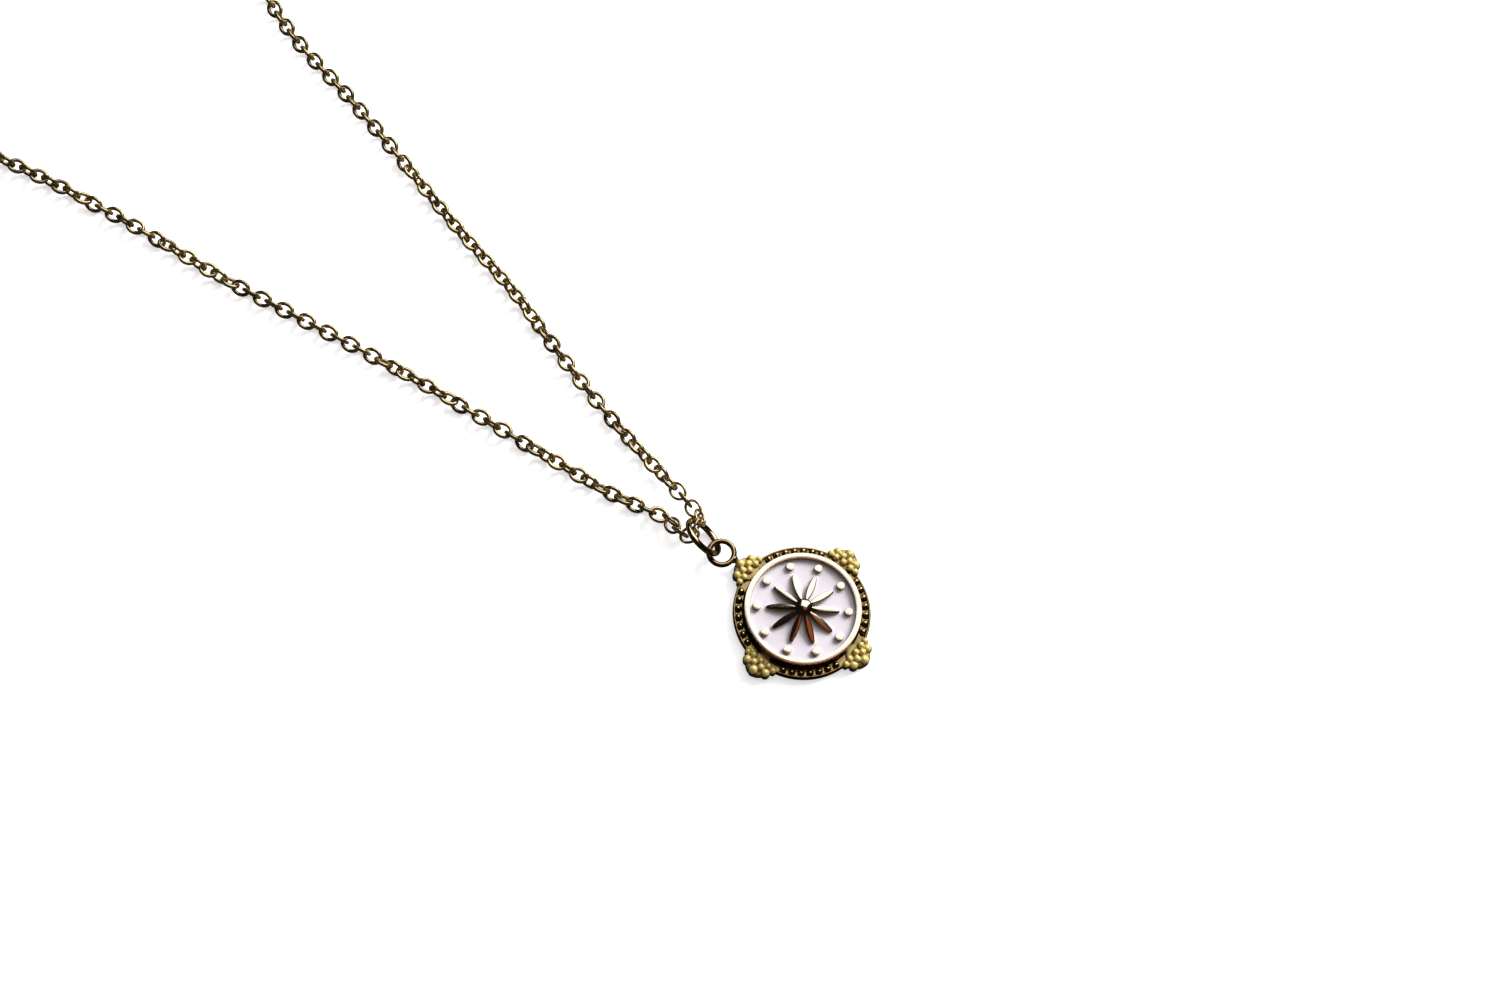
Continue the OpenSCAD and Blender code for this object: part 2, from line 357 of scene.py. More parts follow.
class Group(Wiring):
    """A shader node group with named inputs and outputs."""

    def __init__(self, name: str, inputs: dict[str, object], outputs: dict[str, Kind]) -> None:
        """Makes the empty group and its sockets.

        Args:
            name: The group's name.
            inputs: Each input's name and default, a number or a colour.
            outputs: Each output's name and what it carries.
        """
        super().__init__(bpy.data.node_groups.new(name, "ShaderNodeTree"))
        for label, default in inputs.items():
            kind = Kind.COLOUR if isinstance(default, tuple) else Kind.VALUE
            made = self.tree.interface.new_socket(label, in_out="INPUT", socket_type=kind.value)
            made.default_value = default
        for label, kind in outputs.items():
            self.tree.interface.new_socket(label, in_out="OUTPUT", socket_type=kind.value)
        self.inputs = self.node("NodeGroupInput").outputs
        self.outputs = self.node("NodeGroupOutput").inputs

    def finished(self, **results: Socket) -> Tree:
        """Feeds the outputs and gives the group's tree."""
        self.feed(self.outputs, results)
        return self.tree

    def millimetres(self) -> Socket:
        """The place on the object, in millimetres."""
        place = self.node("ShaderNodeTexCoord").outputs["Object"]
        return self.node("ShaderNodeVectorMath", {0: place, "Scale": 1 / MM}, operation="SCALE").outputs[0]

    def noise(self, fineness: Noise, detail: float, roughness: float = 0.55) -> Socket:
        """A noise over the object, with its octaves as detail and their strength as roughness."""
        shape = {"Scale": fineness.value, "Detail": detail, "Roughness": roughness}
        return self.node("ShaderNodeTexNoise", {"Vector": self.millimetres(), **shape}).outputs["Fac"]


def wear_and_shade_group() -> Tree:
    """Plating that varies at random in tone and in polish, with fine hairlines, and that darkens further by
    the painted shade and the tarnish fed into it.

    Returns:
        The group, which puts out a colour, a roughness and a height.
    """
    group = Group(
        "Plating Wear And Shade",
        {
            "Bright": (0.9, 0.7, 0.4, 1), "Deep": (0.5, 0.3, 0.1, 1), "Polish": 0.15, "Haze": 0.15,
            "Mottle": 0.5, "Tarnish": 0.0,
        },
        {"Color": Kind.COLOUR, "Roughness": Kind.VALUE, "Height": Kind.VALUE},
    )
    patch_share, mottle_share, clear = 0.8, 1.2, 0.85
    dulling, hair_share = 0.12, 0.35
    calc, ins = group.maths, group.inputs
    patch = calc("MULTIPLY", group.noise(Noise.BROAD, detail=3), patch_share)
    cloud = calc("MULTIPLY_ADD", group.noise(Noise.CAST, detail=4), mottle_share, patch)
    cloud = calc("MULTIPLY", calc("SUBTRACT", cloud, clear), ins["Mottle"], clamp=True)
    # Painted shade from the recess and flank masks, with the pieces' own tones, darkens the plating here
    share = calc("ADD", cloud, ins["Tarnish"], clamp=True)
    hair = group.noise(Noise.HAIR, detail=5, roughness=0.7)
    polish = calc("MULTIPLY_ADD", hair, ins["Haze"], ins["Polish"])
    return group.finished(
        Color=group.blend(share, ins["Bright"], ins["Deep"]),
        Roughness=calc("ADD", polish, calc("MULTIPLY", share, dulling)),
        Height=calc("MULTIPLY_ADD", hair, hair_share, group.noise(Noise.GRAIN, detail=4)),
    )


def recess_group() -> Tree:
    """Painted shade in the medallion's bead channel and in the low places of its relief, darker the lower a
    place lies.

    Returns:
        The group, which puts out a mask.
    """
    defaults = {"Inner Radius": 6.5, "Outer Radius": 9.6, "Floor": 0.6, "Depth": 0.6}
    steepness = 8
    group = Group("Relief Recess", defaults, {"Mask": Kind.VALUE})
    calc, ins = group.maths, group.inputs
    x, y, z = group.node("ShaderNodeSeparateXYZ", {0: group.millimetres()}).outputs
    radius = calc("SQRT", calc("ADD", calc("MULTIPLY", x, x), calc("MULTIPLY", y, y)))
    outside = calc("MULTIPLY", calc("SUBTRACT", radius, ins["Inner Radius"]), steepness, clamp=True)
    inside = calc("MULTIPLY", calc("SUBTRACT", ins["Outer Radius"], radius), steepness, clamp=True)
    rise = calc("DIVIDE", calc("SUBTRACT", z, ins["Floor"]), ins["Depth"], clamp=True)
    low = calc("SUBTRACT", 1, rise)
    return group.finished(Mask=calc("MULTIPLY", calc("MULTIPLY", outside, inside), low))


def flank_shade_group() -> Tree:
    """Painted shade on the relief's steep flanks, darker the further a surface turns from facing up.

    Returns:
        The group, which puts out a mask.
    """
    group = Group("Painted Flank Shade", {"Upright": 0.45, "Level": 0.8}, {"Mask": Kind.VALUE})
    calc, ins = group.maths, group.inputs
    normal = group.node("ShaderNodeTexCoord").outputs["Normal"]
    facing_up = group.node("ShaderNodeSeparateXYZ", {0: normal}).outputs["Z"]
    above = calc("SUBTRACT", ins["Level"], facing_up)
    span = calc("SUBTRACT", ins["Level"], ins["Upright"])
    return group.finished(Mask=calc("DIVIDE", above, span, clamp=True))


class Material(Wiring):
    """A material whose Principled shader is fed by shared groups."""

    def __init__(self, name: str, metallic: float, roughness: float) -> None:
        """Makes the material.

        Args:
            name: The material's name.
            metallic: The shader's metallic value.
            roughness: The shader's roughness where nothing feeds it.
        """
        self.data = bpy.data.materials.new(name)
        self.data.use_nodes = True
        super().__init__(self.data.node_tree)
        self.shader = self.tree.nodes["Principled BSDF"].inputs
        self.feed(self.shader, {"Metallic": metallic, "Roughness": roughness})

    def group(self, tree: Tree, **values: object) -> Sockets:
        """Places a shared group with this material's own values and gives its outputs."""
        return self.node("ShaderNodeGroup", values, node_tree=tree).outputs

    def bump(self, height: Socket, distance: float, strength: float) -> None:
        """Roughens the surface by a height that stands for a distance in millimetres."""
        sources = {"Height": height, "Distance": distance * MM, "Strength": strength}
        self.feed(self.shader, {"Normal": self.node("ShaderNodeBump", sources).outputs["Normal"]})


@dataclass(frozen=True)
class Gold:
    """A gold-coloured plating, with painted shade in its recesses and on its flanks, and darker by a
    piece's own tones.
    """

    name: str
    bright: Colour
    deep: Colour
    polish: float
    haze: float
    relief: float
    mottle: float
    # recess, low and flank set the painted shade in low places and on steep flanks
    recess: float = 0
    low: Row = (0.6, 0.6)
    flank: float = 0
    metal: float = 1
    tones: Row = (0, 0)

    def material(self, groups: tuple[Tree, Tree, Tree]) -> Finish:
        """Builds the plating's material.

        Args:
            groups: The shared groups of plating wear with painted shade, of painted recess shade and of
                painted flank shade.

        Returns:
            The material.
        """
        wear_and_shade, recess, flank = groups
        made = Material(self.name, self.metal, self.polish)
        # Darkening of the plating: the piece's own tones plus painted shade in recesses and on flanks
        tone_share, tarnish_and_shade = self.tones
        if self.recess:
            # Painted shade in the low places of the relief
            low = made.group(recess, Floor=self.low[0], Depth=self.low[1])["Mask"]
            tarnish_and_shade = made.maths("MULTIPLY_ADD", low, self.recess, tarnish_and_shade)
        if self.flank:
            # Painted shade on the steep flanks
            tarnish_and_shade = made.maths("MULTIPLY_ADD", made.group(flank)["Mask"], self.flank, tarnish_and_shade)
        if tone_share:
            tone = made.node("ShaderNodeAttribute", attribute_name="tone").outputs["Fac"]
            tarnish_and_shade = made.maths("MULTIPLY_ADD", tone, tone_share, tarnish_and_shade)
        plating = made.group(
            wear_and_shade, Bright=(*self.bright, 1), Deep=(*self.deep, 1), Polish=self.polish, Haze=self.haze,
            Mottle=self.mottle, Tarnish=tarnish_and_shade,
        )
        made.feed(made.shader, {"Base Color": plating["Color"], "Roughness": plating["Roughness"]})
        made.bump(plating["Height"], self.relief, strength=0.5)
        return made.data


@dataclass(frozen=True)
class Enamelling:
    """Poured enamel, glossy over a pale body colour."""

    name: str
    pale: Colour
    cloud: Colour
    gloss: float
    drift_share: float = 0.7
    speck_share: float = 0.25
    relief: float = 0.02
    coat: float = 0.35
    coat_gloss: float = 0.05

    def material(self) -> Finish:
        """Builds the enamel's material.

        Returns:
            The material.
        """
        white = (1, 1, 1, 1)
        body = Group(
            "Enamel Body", {"Pale": white, "Cloud": white}, {"Color": Kind.COLOUR, "Height": Kind.VALUE}
        )
        drift = body.maths("MULTIPLY", body.noise(Noise.DRIFT, detail=3), self.drift_share)
        speck = body.noise(Noise.GRAIN, detail=3)
        share = body.maths("MULTIPLY_ADD", speck, self.speck_share, drift)
        tree = body.finished(
            Color=body.blend(share, body.inputs["Pale"], body.inputs["Cloud"]),
            Height=body.noise(Noise.RIPPLE, detail=2),
        )
        made = Material(self.name, 0, self.gloss)
        fill = made.group(tree, Pale=(*self.pale, 1), Cloud=(*self.cloud, 1))
        made.feed(made.shader, {
            "Base Color": fill["Color"], "Coat Weight": self.coat, "Coat Roughness": self.coat_gloss,
        })
        made.bump(fill["Height"], self.relief, strength=0.4)
        return made.data


@dataclass(frozen=True)
class Workshop:
    """The finishes that the pieces share."""

    cast: Finish
    granules: Finish
    bright: Finish
    polished: Finish
    wire: Finish
    eye: Finish
    chain: Finish
    clasp: Finish
    enamel: Finish


def open_workshop() -> Workshop:
    """Builds every finish once.

    Returns:
        The finishes.
    """
    groups = wear_and_shade_group(), recess_group(), flank_shade_group()
    # Each gold's recess and flank values set how much painted shade it takes
    golds = {
        "cast": Gold(
            "cast gold", (0.97, 0.77, 0.34), (0.11, 0.06, 0.016),
            polish=0.12, haze=0.08, relief=0.006, mottle=0.6, recess=0.7, flank=0.8,
        ),
        "granules": Gold(
            "granulated gold", (1.0, 0.78, 0.28), (0.10, 0.055, 0.014), polish=0.09, haze=0.08,
            relief=0.02, mottle=0.4, recess=0.9, low=(0.82, 0.4), flank=0.5, metal=0.45,
        ),
        "bright": Gold(
            "bright gold", (0.97, 0.90, 0.74), (0.30, 0.17, 0.06),
            polish=0.12, haze=0.05, relief=0.0015, mottle=0.1, flank=0.8,
        ),
        "polished": Gold(
            "polished gold", (0.96, 0.88, 0.70), (0.24, 0.13, 0.05),
            polish=0.10, haze=0.05, relief=0.002, mottle=0.1, flank=0.9,
        ),
        "wire": Gold(
            "wire gold", (1.0, 0.84, 0.48), (0.10, 0.05, 0.014),
            polish=0.05, haze=0.05, relief=0.002, mottle=0.9, flank=0.5,
        ),
        "eye": Gold(
            "eye gold", (0.62, 0.45, 0.22), (0.07, 0.035, 0.014),
            polish=0.16, haze=0.1, relief=0.003, mottle=0.9, flank=0.7,
        ),
        "chain": Gold(
            "antique chain", (1.0, 0.82, 0.44), (0.14, 0.075, 0.02),
            polish=0.07, haze=0.06, relief=0.001, mottle=1.0, metal=0.95, tones=(0.5, -0.2),
        ),
        "clasp": Gold(
            "clasp gold", (0.86, 0.69, 0.38), (0.34, 0.20, 0.08),
            polish=0.12, haze=0.08, relief=0.003, mottle=0.5,
        ),
    }
    enamel = Enamelling("lilac enamel", (0.69, 0.635, 0.68), (0.64, 0.58, 0.635), gloss=0.2)
    dressed = {key: gold.material(groups) for key, gold in golds.items()}
    return Workshop(**dressed, enamel=enamel.material())


# The necklace's sub-assemblies


@dataclass
class Assembly:
    """A sub-assembly that the workshop dresses."""

    shop: Workshop


@dataclass
class Cluster:
    """One granulated corner of the medallion, beads on pebbles that a low web holds together."""

    # Distance from the medallion's centre, angle, diameter and height of the middle of each bead
    beads: tuple[tuple[float, float, float, float], ...] = (
        (8.66, 0, 1.16, 0.86), (8.2, 8.6, 1.1, 0.8), (8.2, -8.6, 1.1, 0.8),
        (7.98, 3.5, 0.84, 1.12), (7.98, -3.5, 0.84, 1.12), (7.4, 0, 0.78, 1.18),
        (7.42, 7.8, 0.8, 1.12), (7.42, -7.8, 0.8, 1.12), (7.6, 13, 0.8, 0.98), (7.6, -13, 0.8, 0.98),
    )
    pebble_inset: float = 0.06
    pebble_foot: float = 0.96
    pebble_squareness: Row = (0.8, 0.9)
    crown_share: Row = (0.5, 0.8)
    web_at: float = 7.75
    web_r: float = 1.4
    web_h: float = 0.98
    web_crown: float = 0.04
    web_fillets: Row = (0.1, 0.3)
    voxel: float = 0.04
    melting: int = 3

    def skin(self) -> Shape:
        """Melts the corner into one skin.

        Returns:
            The corner on the medallion's +X side.
        """
        heap = Draft()
        for radius, angle, diameter, height in self.beads:
            heap.add(self.pebble(diameter - self.pebble_inset, height), at=polar(radius, angle))
            heap.add(ball(diameter), at=polar(radius, angle, height))
        low, high = self.web_fillets
        web = [(0, 0, 0), (self.web_r, 0, low), (self.web_r, self.web_h, high)]
        web.append((0, self.web_h + self.web_crown, 0))
        heap.add(turned(filleted(web), segments=48), at=(self.web_at, 0, 0))
        return heap.fused(self.voxel, self.melting)

    def pebble(self, diameter: float, height: float) -> Shape:
        """Makes a low granule on z = 0 with a flattened round top.

        Args:
            diameter: The granule's width.
            height: Its height.

        Returns:
            The granule.
        """
        r = diameter / 2
        of_height, of_radius = self.crown_share
        side, top = self.pebble_squareness
        crown = min(height * of_height, r * of_radius)
        outline = [(0.0, 0.0), (r * self.pebble_foot, 0.0)]
        for t in np.linspace(0, math.pi / 2, 11)[:-1]:
            outline.append((r * math.cos(t) ** side, height - crown + crown * math.sin(t) ** top))
        return turned([*outline, (0.0, height)], segments=32)


@dataclass
class Medallion(Assembly):
    """The cast pendant: plate, bezel, beaded rim, corner clusters, star, dots, ball and eye."""

    edge_d: float = 15.2
    edge_fillet: float = 0.2
    plate_t: float = 0.95
    plate_fillets: Row = (0.14, 0.1)
    lip_w: float = 0.24
    channel_gap: float = 0.14
    channel_h: float = 0.75
    channel_fillet: float = 0.05
    foot_h: float = 0.1
    foot_w: float = 0.2
    foot_fillet: float = 0.08
    bezel_d: float = 12.96
    bezel_w: float = 0.64
    bezel_h: float = 2.1
    bezel_crown: float = 0.006
    bezel_fillets: Point = (0.06, 0.1, 0.04)
    field_h: float = 0.9
    sink: float = 0.1
    rim_beads: int = 44
    rim_bead_d: float = 0.8
    rim_bead_r: float = 7.045
    rim_bead_z: float = 0.88
    corners: int = 4
    corner_span: float = 14
    cluster: Cluster = field(default_factory=Cluster)
    petals: int = 10
    petal_in: float = 0.85
    petal_out: float = 4.04
    petal_points: Row = (0.55, 4.55)
    petal_w: float = 0.76
    petal_least: float = 0.02
    petal_tip_r: float = 0.24
    petal_slope: float = 12
    petal_end_z: float = 1.85
    petal_shoulder: float = 0.11
    petal_crown: float = 0.016
    dot_r: float = 5.05
    dot_d: float = 0.92
    dot_h: float = 1.94
    dot_fillet: float = 0.06
    dot_crown: float = 0.004
    ball_d: float = 1.9
    ball_z: float = 2.3
    ball_inset: float = 0.03
    ball_dome_r: float = 1.6
    ball_top: float = 3.0
    neck_d: float = 1.3
    eye_d: float = 3.4
    eye_wire: float = 0.62
    eye_at: Point = (-0.45, 11, 1.32)
    solder_d: float = 0.96
    solder_at: Point = (-0.1, 9.52, 1.15)

    @property
    def bezel_in(self) -> float:
        """Inner radius of the bezel ring."""
        return self.bezel_d / 2 - self.bezel_w

    @property
    def petal_arc(self) -> Row:
        """Half the length between a petal's points and the radius of its sides."""
        half = (self.petal_points[1] - self.petal_points[0]) / 2
        return half, (half * half + self.petal_w ** 2 / 4) / self.petal_w

    @property
    def petal_angles(self) -> list[float]:
        """The directions of the petals and dots, in degrees."""
        return [90 + k * 360 / self.petals for k in range(self.petals)]

    def build(self) -> None:
        """Builds all of the medallion's pieces."""
        shop = self.shop
        for name, draft, finish in (
            ("back_plate", self.plate(), shop.cast),
            ("bezel_ring", self.bezel(), shop.bright),
            ("rim_beads", self.rim(), shop.cast),
            ("corner_clusters", self.clusters(), shop.granules),
            ("star_petals", self.star(), shop.polished),
            ("star_dots", self.dots(), shop.polished),
            ("star_ball", self.centre_ball(), shop.polished),
            ("hanging_eye", self.eye(), shop.eye),
        ):
            made = draft.piece(name, finish, Slot.CAST)
            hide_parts("medallion")

    def plate(self) -> Draft:
        """Turns the back plate with its lip and bead channel.

        Returns:
            The plate.
        """
        edge, bezel = self.edge_d / 2, self.bezel_d / 2
        lip, channel, foot = edge - self.lip_w, bezel + self.channel_gap, bezel - self.foot_w
        foot_z = self.plate_t + self.foot_h
        outer, inner = self.plate_fillets
        return Draft(turned(filleted([
            (0, 0, 0), (edge, 0, self.edge_fillet), (edge, self.plate_t, outer),
            (lip, self.plate_t, inner), (lip, self.channel_h, self.channel_fillet),
            (channel, self.channel_h, self.channel_fillet), (bezel, foot_z, self.foot_fillet),
            (foot, foot_z, 0), (foot, self.field_h, 0), (0, self.field_h, 0),
        ]), segments=288))

    def bezel(self) -> Draft:
        """Turns the polished bezel ring, its top very slightly crowned.

        Returns:
            The ring.
        """
        outer, inner = self.bezel_d / 2, self.bezel_in
        low, high = self.field_h - self.sink, self.bezel_h
        outside, middle, inside = self.bezel_fillets
        return Draft(turned_ring(filleted([
            (inner, low, 0), (outer, low, 0), (outer, high, outside),
            ((outer + inner) / 2, high + self.bezel_crown, middle), (inner, high, inside), (inner, low, 0),
        ]), segments=320))

    def rim(self) -> Draft:
        """Sets the ring of beads, none of them where the corner clusters lie.

        Returns:
            The beads.
        """
        angles = [(i + 0.5) * 360 / self.rim_beads for i in range(self.rim_beads)]
        clear = [a for a in angles if abs(math.remainder(a, 360 / self.corners)) > self.corner_span]
        return ringed(ball(self.rim_bead_d), clear, self.rim_bead_r, self.rim_bead_z)

    def clusters(self) -> Draft:
        """The same granulated cluster at each corner."""
        return ringed(self.cluster.skin(), [k * 360 / self.corners for k in range(self.corners)])

    def leaf_half_width(self, x: float) -> float:
        """Measures half a petal's width, round at its outer end.

        Args:
            x: The distance from the medallion's centre.

        Returns:
            The half width.
        """
        half, arc = self.petal_arc
        middle = self.petal_points[0] + half
        side = math.sqrt(max(0.0, arc * arc - (x - middle) ** 2)) - arc + self.petal_w / 2
        into_tip = x - self.petal_out + self.petal_tip_r
        if into_tip > 0:
            side = min(side, math.sqrt(max(0.0, self.petal_tip_r ** 2 - into_tip ** 2)))
        return max(self.petal_least, side)

    def leaf(self) -> Shape:
        """Makes a petal: upright sides, a soft shoulder and a nearly flat top that falls outwards.

        Returns:
            The petal, its length along X.
        """
        shoulder, soft_share, crown_parts = self.petal_shoulder, 0.8, (0.75, 0.5, 0.25)
        slope = math.tan(math.radians(self.petal_slope))
        bend = np.linspace(0, math.pi, 33)
        stations = self.petal_in + (self.petal_out - self.petal_in) * (1 - np.cos(bend)) / 2
        points = []
        for x in stations:
            width = self.leaf_half_width(float(x))
            soft = min(shoulder, width * soft_share)
            near = max(0.0, shoulder - (self.petal_out - x))
            drop = shoulder - math.sqrt(max(0.0, shoulder ** 2 - near ** 2))
            top = self.petal_end_z + (self.petal_out - x) * slope - drop
            crown = self.petal_crown * width / (self.petal_w / 2)
            section = [(width, self.field_h)]
            for a in np.linspace(0, math.pi / 2, 5):
                section.append((width - soft * (1 - math.cos(a)), top - soft * (1 - math.sin(a))))
            for part in crown_parts:
                section.append(((width - soft) * part, top + crown * (1 - part ** 2)))
            mirrored = [(-y, z) for y, z in reversed(section)]
            points += [(x, y, z) for y, z in [*section, (0, top + crown), *mirrored]]
        row, last = len(points) // len(stations), len(points) - 1
        skin = woven(len(stations), row)[:-row]
        return np.array(points), [*skin, tuple(range(row)), tuple(range(last, last - row, -1))]

    def star(self) -> Draft:
        """Ten leaf-shaped petals that stand on the field and reach the ball."""
        return ringed(self.leaf(), self.petal_angles)

    def dots(self) -> Draft:
        """Sets ten short posts with flat bevelled tops.

        Returns:
            The posts.
        """
        r, low = self.dot_d / 2, self.field_h - self.sink
        corners = [(0, low, 0), (r, low, 0), (r, self.dot_h, self.dot_fillet)]
        outline = filleted([*corners, (0, self.dot_h + self.dot_crown, 0)], steps=6)
        return ringed(turned(outline, segments=40), self.petal_angles, self.dot_r)

    def centre_ball(self) -> Draft:
        """Turns the polished ball, worn to a low dome on top, and its neck.

        Returns:
            The ball and the neck.
        """
        r, dome, neck_r, low = self.ball_d / 2, self.ball_dome_r, self.neck_d / 2, self.field_h - self.sink
        below = np.linspace(-math.pi / 2, 0, 25)
        above = np.linspace(math.asin((r - self.ball_inset) / dome), 0, 25)
        outline = [(r * math.cos(t), self.ball_z + r * math.sin(t)) for t in below]
        outline += [(dome * math.sin(t), self.ball_top - dome * (1 - math.cos(t))) for t in above]
        neck = [(0, low), (neck_r, low), (neck_r, self.ball_z), (0, self.ball_z)]
        return Draft(turned(outline, segments=72), turned(neck, segments=48))

    def eye(self) -> Draft:
        """Fuses the eye for the jump ring with the solder that holds it.

        Returns:
            The eye.
        """
        joint = Draft()
        joint.add(wire_loop(self.eye_d, self.eye_d, self.eye_wire, segments=96, sides=28), at=self.eye_at)
        joint.add(ball(self.solder_d, rings=24, segments=36), at=self.solder_at)
        return Draft(joint.fused(voxel=0.035, passes=4))


@dataclass
class EnamelField(Assembly):
    """The enamel poured round the raised star, with a rim where it climbs the metal."""

    around: Medallion
    level: float = 1.6
    rings: int = 84
    segments: int = 300
    climb: float = 0.07
    reach: float = 0.14
    ball_share: float = 0.9
    sway: float = 0.012
    sway_x: Row = (1.3, 0.8)
    sway_y: Row = (1.1, -0.4)
    overlap: float = 0.005
    clearance: float = 0.01

    def build(self) -> None:
        """Builds the enamel."""
        made = Draft(self.pool()).piece("enamel_field", self.shop.enamel, Slot.ENAMEL)
        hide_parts("enamel")

    def lift(self, x: np.ndarray, y: np.ndarray) -> np.ndarray:
        """Finds how far the surface stands above its level near metal.

        Args:
            x: Places along X.
            y: Places along Y.

        Returns:
            The lifts at those places.
        """
        part = self.around
        radius = np.hypot(x, y)
        gaps = [part.bezel_in - radius, np.abs(radius - part.ball_d / 2 * self.ball_share)]
        half, arc = part.petal_arc
        side = arc - part.petal_w / 2
        for angle in part.petal_angles:
            c, s, _ = polar(1, angle)
            along, across = x * c + y * s, y * c - x * s
            dot = np.hypot(along - part.dot_r, across) - part.dot_d / 2
            petal = np.hypot(along - part.petal_points[0] - half, np.abs(across) + side) - arc
            gaps += [np.abs(dot), np.abs(np.maximum(petal, radius - part.petal_out))]
        nearest = np.maximum(np.minimum.reduce(gaps), 0)
        sway = self.sway * np.sin(np.polyval(self.sway_x, x)) * np.cos(np.polyval(self.sway_y, y))
        return self.climb * np.exp(-nearest / self.reach) + sway

    def pool(self) -> Shape:
        """Fills the field to the enamel's level, with its rim.

        Returns:
            The enamel.
        """
        part = self.around
        edge, floor = part.bezel_in + self.overlap, part.field_h + self.clearance
        surface = [(float(r), self.level) for r in np.linspace(edge, 0, self.rings)]
        points, faces = turned([(0.0, floor), (edge, floor), *surface], self.segments)
        top = points[:, 2] > (part.field_h + self.level) / 2
        points[top, 2] += self.lift(points[top, 0], points[top, 1]) - self.climb / 4
        return points, faces


@dataclass(frozen=True)
class Route:
    """The chain's way round the loop: x, y and how far the links are lifted off the floor."""

    back_left: tuple[Point, ...] = (
        (-1.35, 199.2, 0), (-14, 196.3, 0), (-25, 189.5, 0), (-33.5, 180, 0), (-38, 168, 0),
        (-38.5, 156, 0), (-35.5, 144.5, 0), (-30, 133.5, 0), (-24, 123.5, 0), (-19.2, 114, 0),
    )
    front_left: tuple[Point, ...] = (
        (-16, 104.5, 0), (-13.8, 95, 0), (-12.1, 85, 0), (-10.8, 75, 0), (-8.9, 65, 0),
        (-7.1, 55.5, 0), (-5.6, 46, 0), (-4, 34, 0), (-2.9, 26, 0),
        (-1, 17.8, 0), (-1.3, 17.35, 0.05), (-1.6, 15, 1.15),
    )
    bend: Point = (-0.05, 14.9, 1.3)
    front_right: tuple[Point, ...] = (
        (1, 15.15, 1.05), (1.8, 18.1, 0.6), (2.45, 21, 0.3),
        (3.1, 24.5, 0), (4.6, 32, 0), (6.6, 40, 0), (9.2, 49, 0), (11.4, 60, 0),
        (13.8, 70, 0), (16, 80, 0), (17.6, 89, 0), (19.8, 96, 0),
    )
    back_right: tuple[Point, ...] = (
        (23.6, 104.5, 0), (29, 114, 0), (35.5, 123.5, 0), (41.5, 133.5, 0), (45.8, 145, 0),
        (47.3, 157.5, 0), (45.5, 170, 0), (40, 181.5, 0), (31, 191, 0), (20, 196.8, 0),
        (6.95, 199.25, 0),
    )
    steps: int = 12

    def line(self) -> tuple[np.ndarray, np.ndarray, float]:
        """Draws the smooth line through the rows.

        Returns:
            Its points, the length up to each of them and the length up to the bend.
        """
        left, right = (*self.back_left, *self.front_left), (*self.front_right, *self.back_right)
        rows = np.array([left[0], *left, self.bend, *right, right[-1]], float)
        points = []
        for a, b, c, d in zip(rows, rows[1:], rows[2:], rows[3:]):
            for t in np.arange(self.steps) / self.steps:
                points.append(0.5 * (
                    2 * b + t * (c - a) + t * t * (2 * a - 5 * b + 4 * c - d)
                    + t ** 3 * (3 * b - a - 3 * c + d)
                ))
        line = np.array([*points, rows[-1]])
        line[:, 2] = np.maximum(0, line[:, 2])
        lengths = np.r_[0, np.cumsum(np.linalg.norm(np.diff(line, axis=0), axis=1))]
        return line, lengths, float(lengths[len(left) * self.steps])


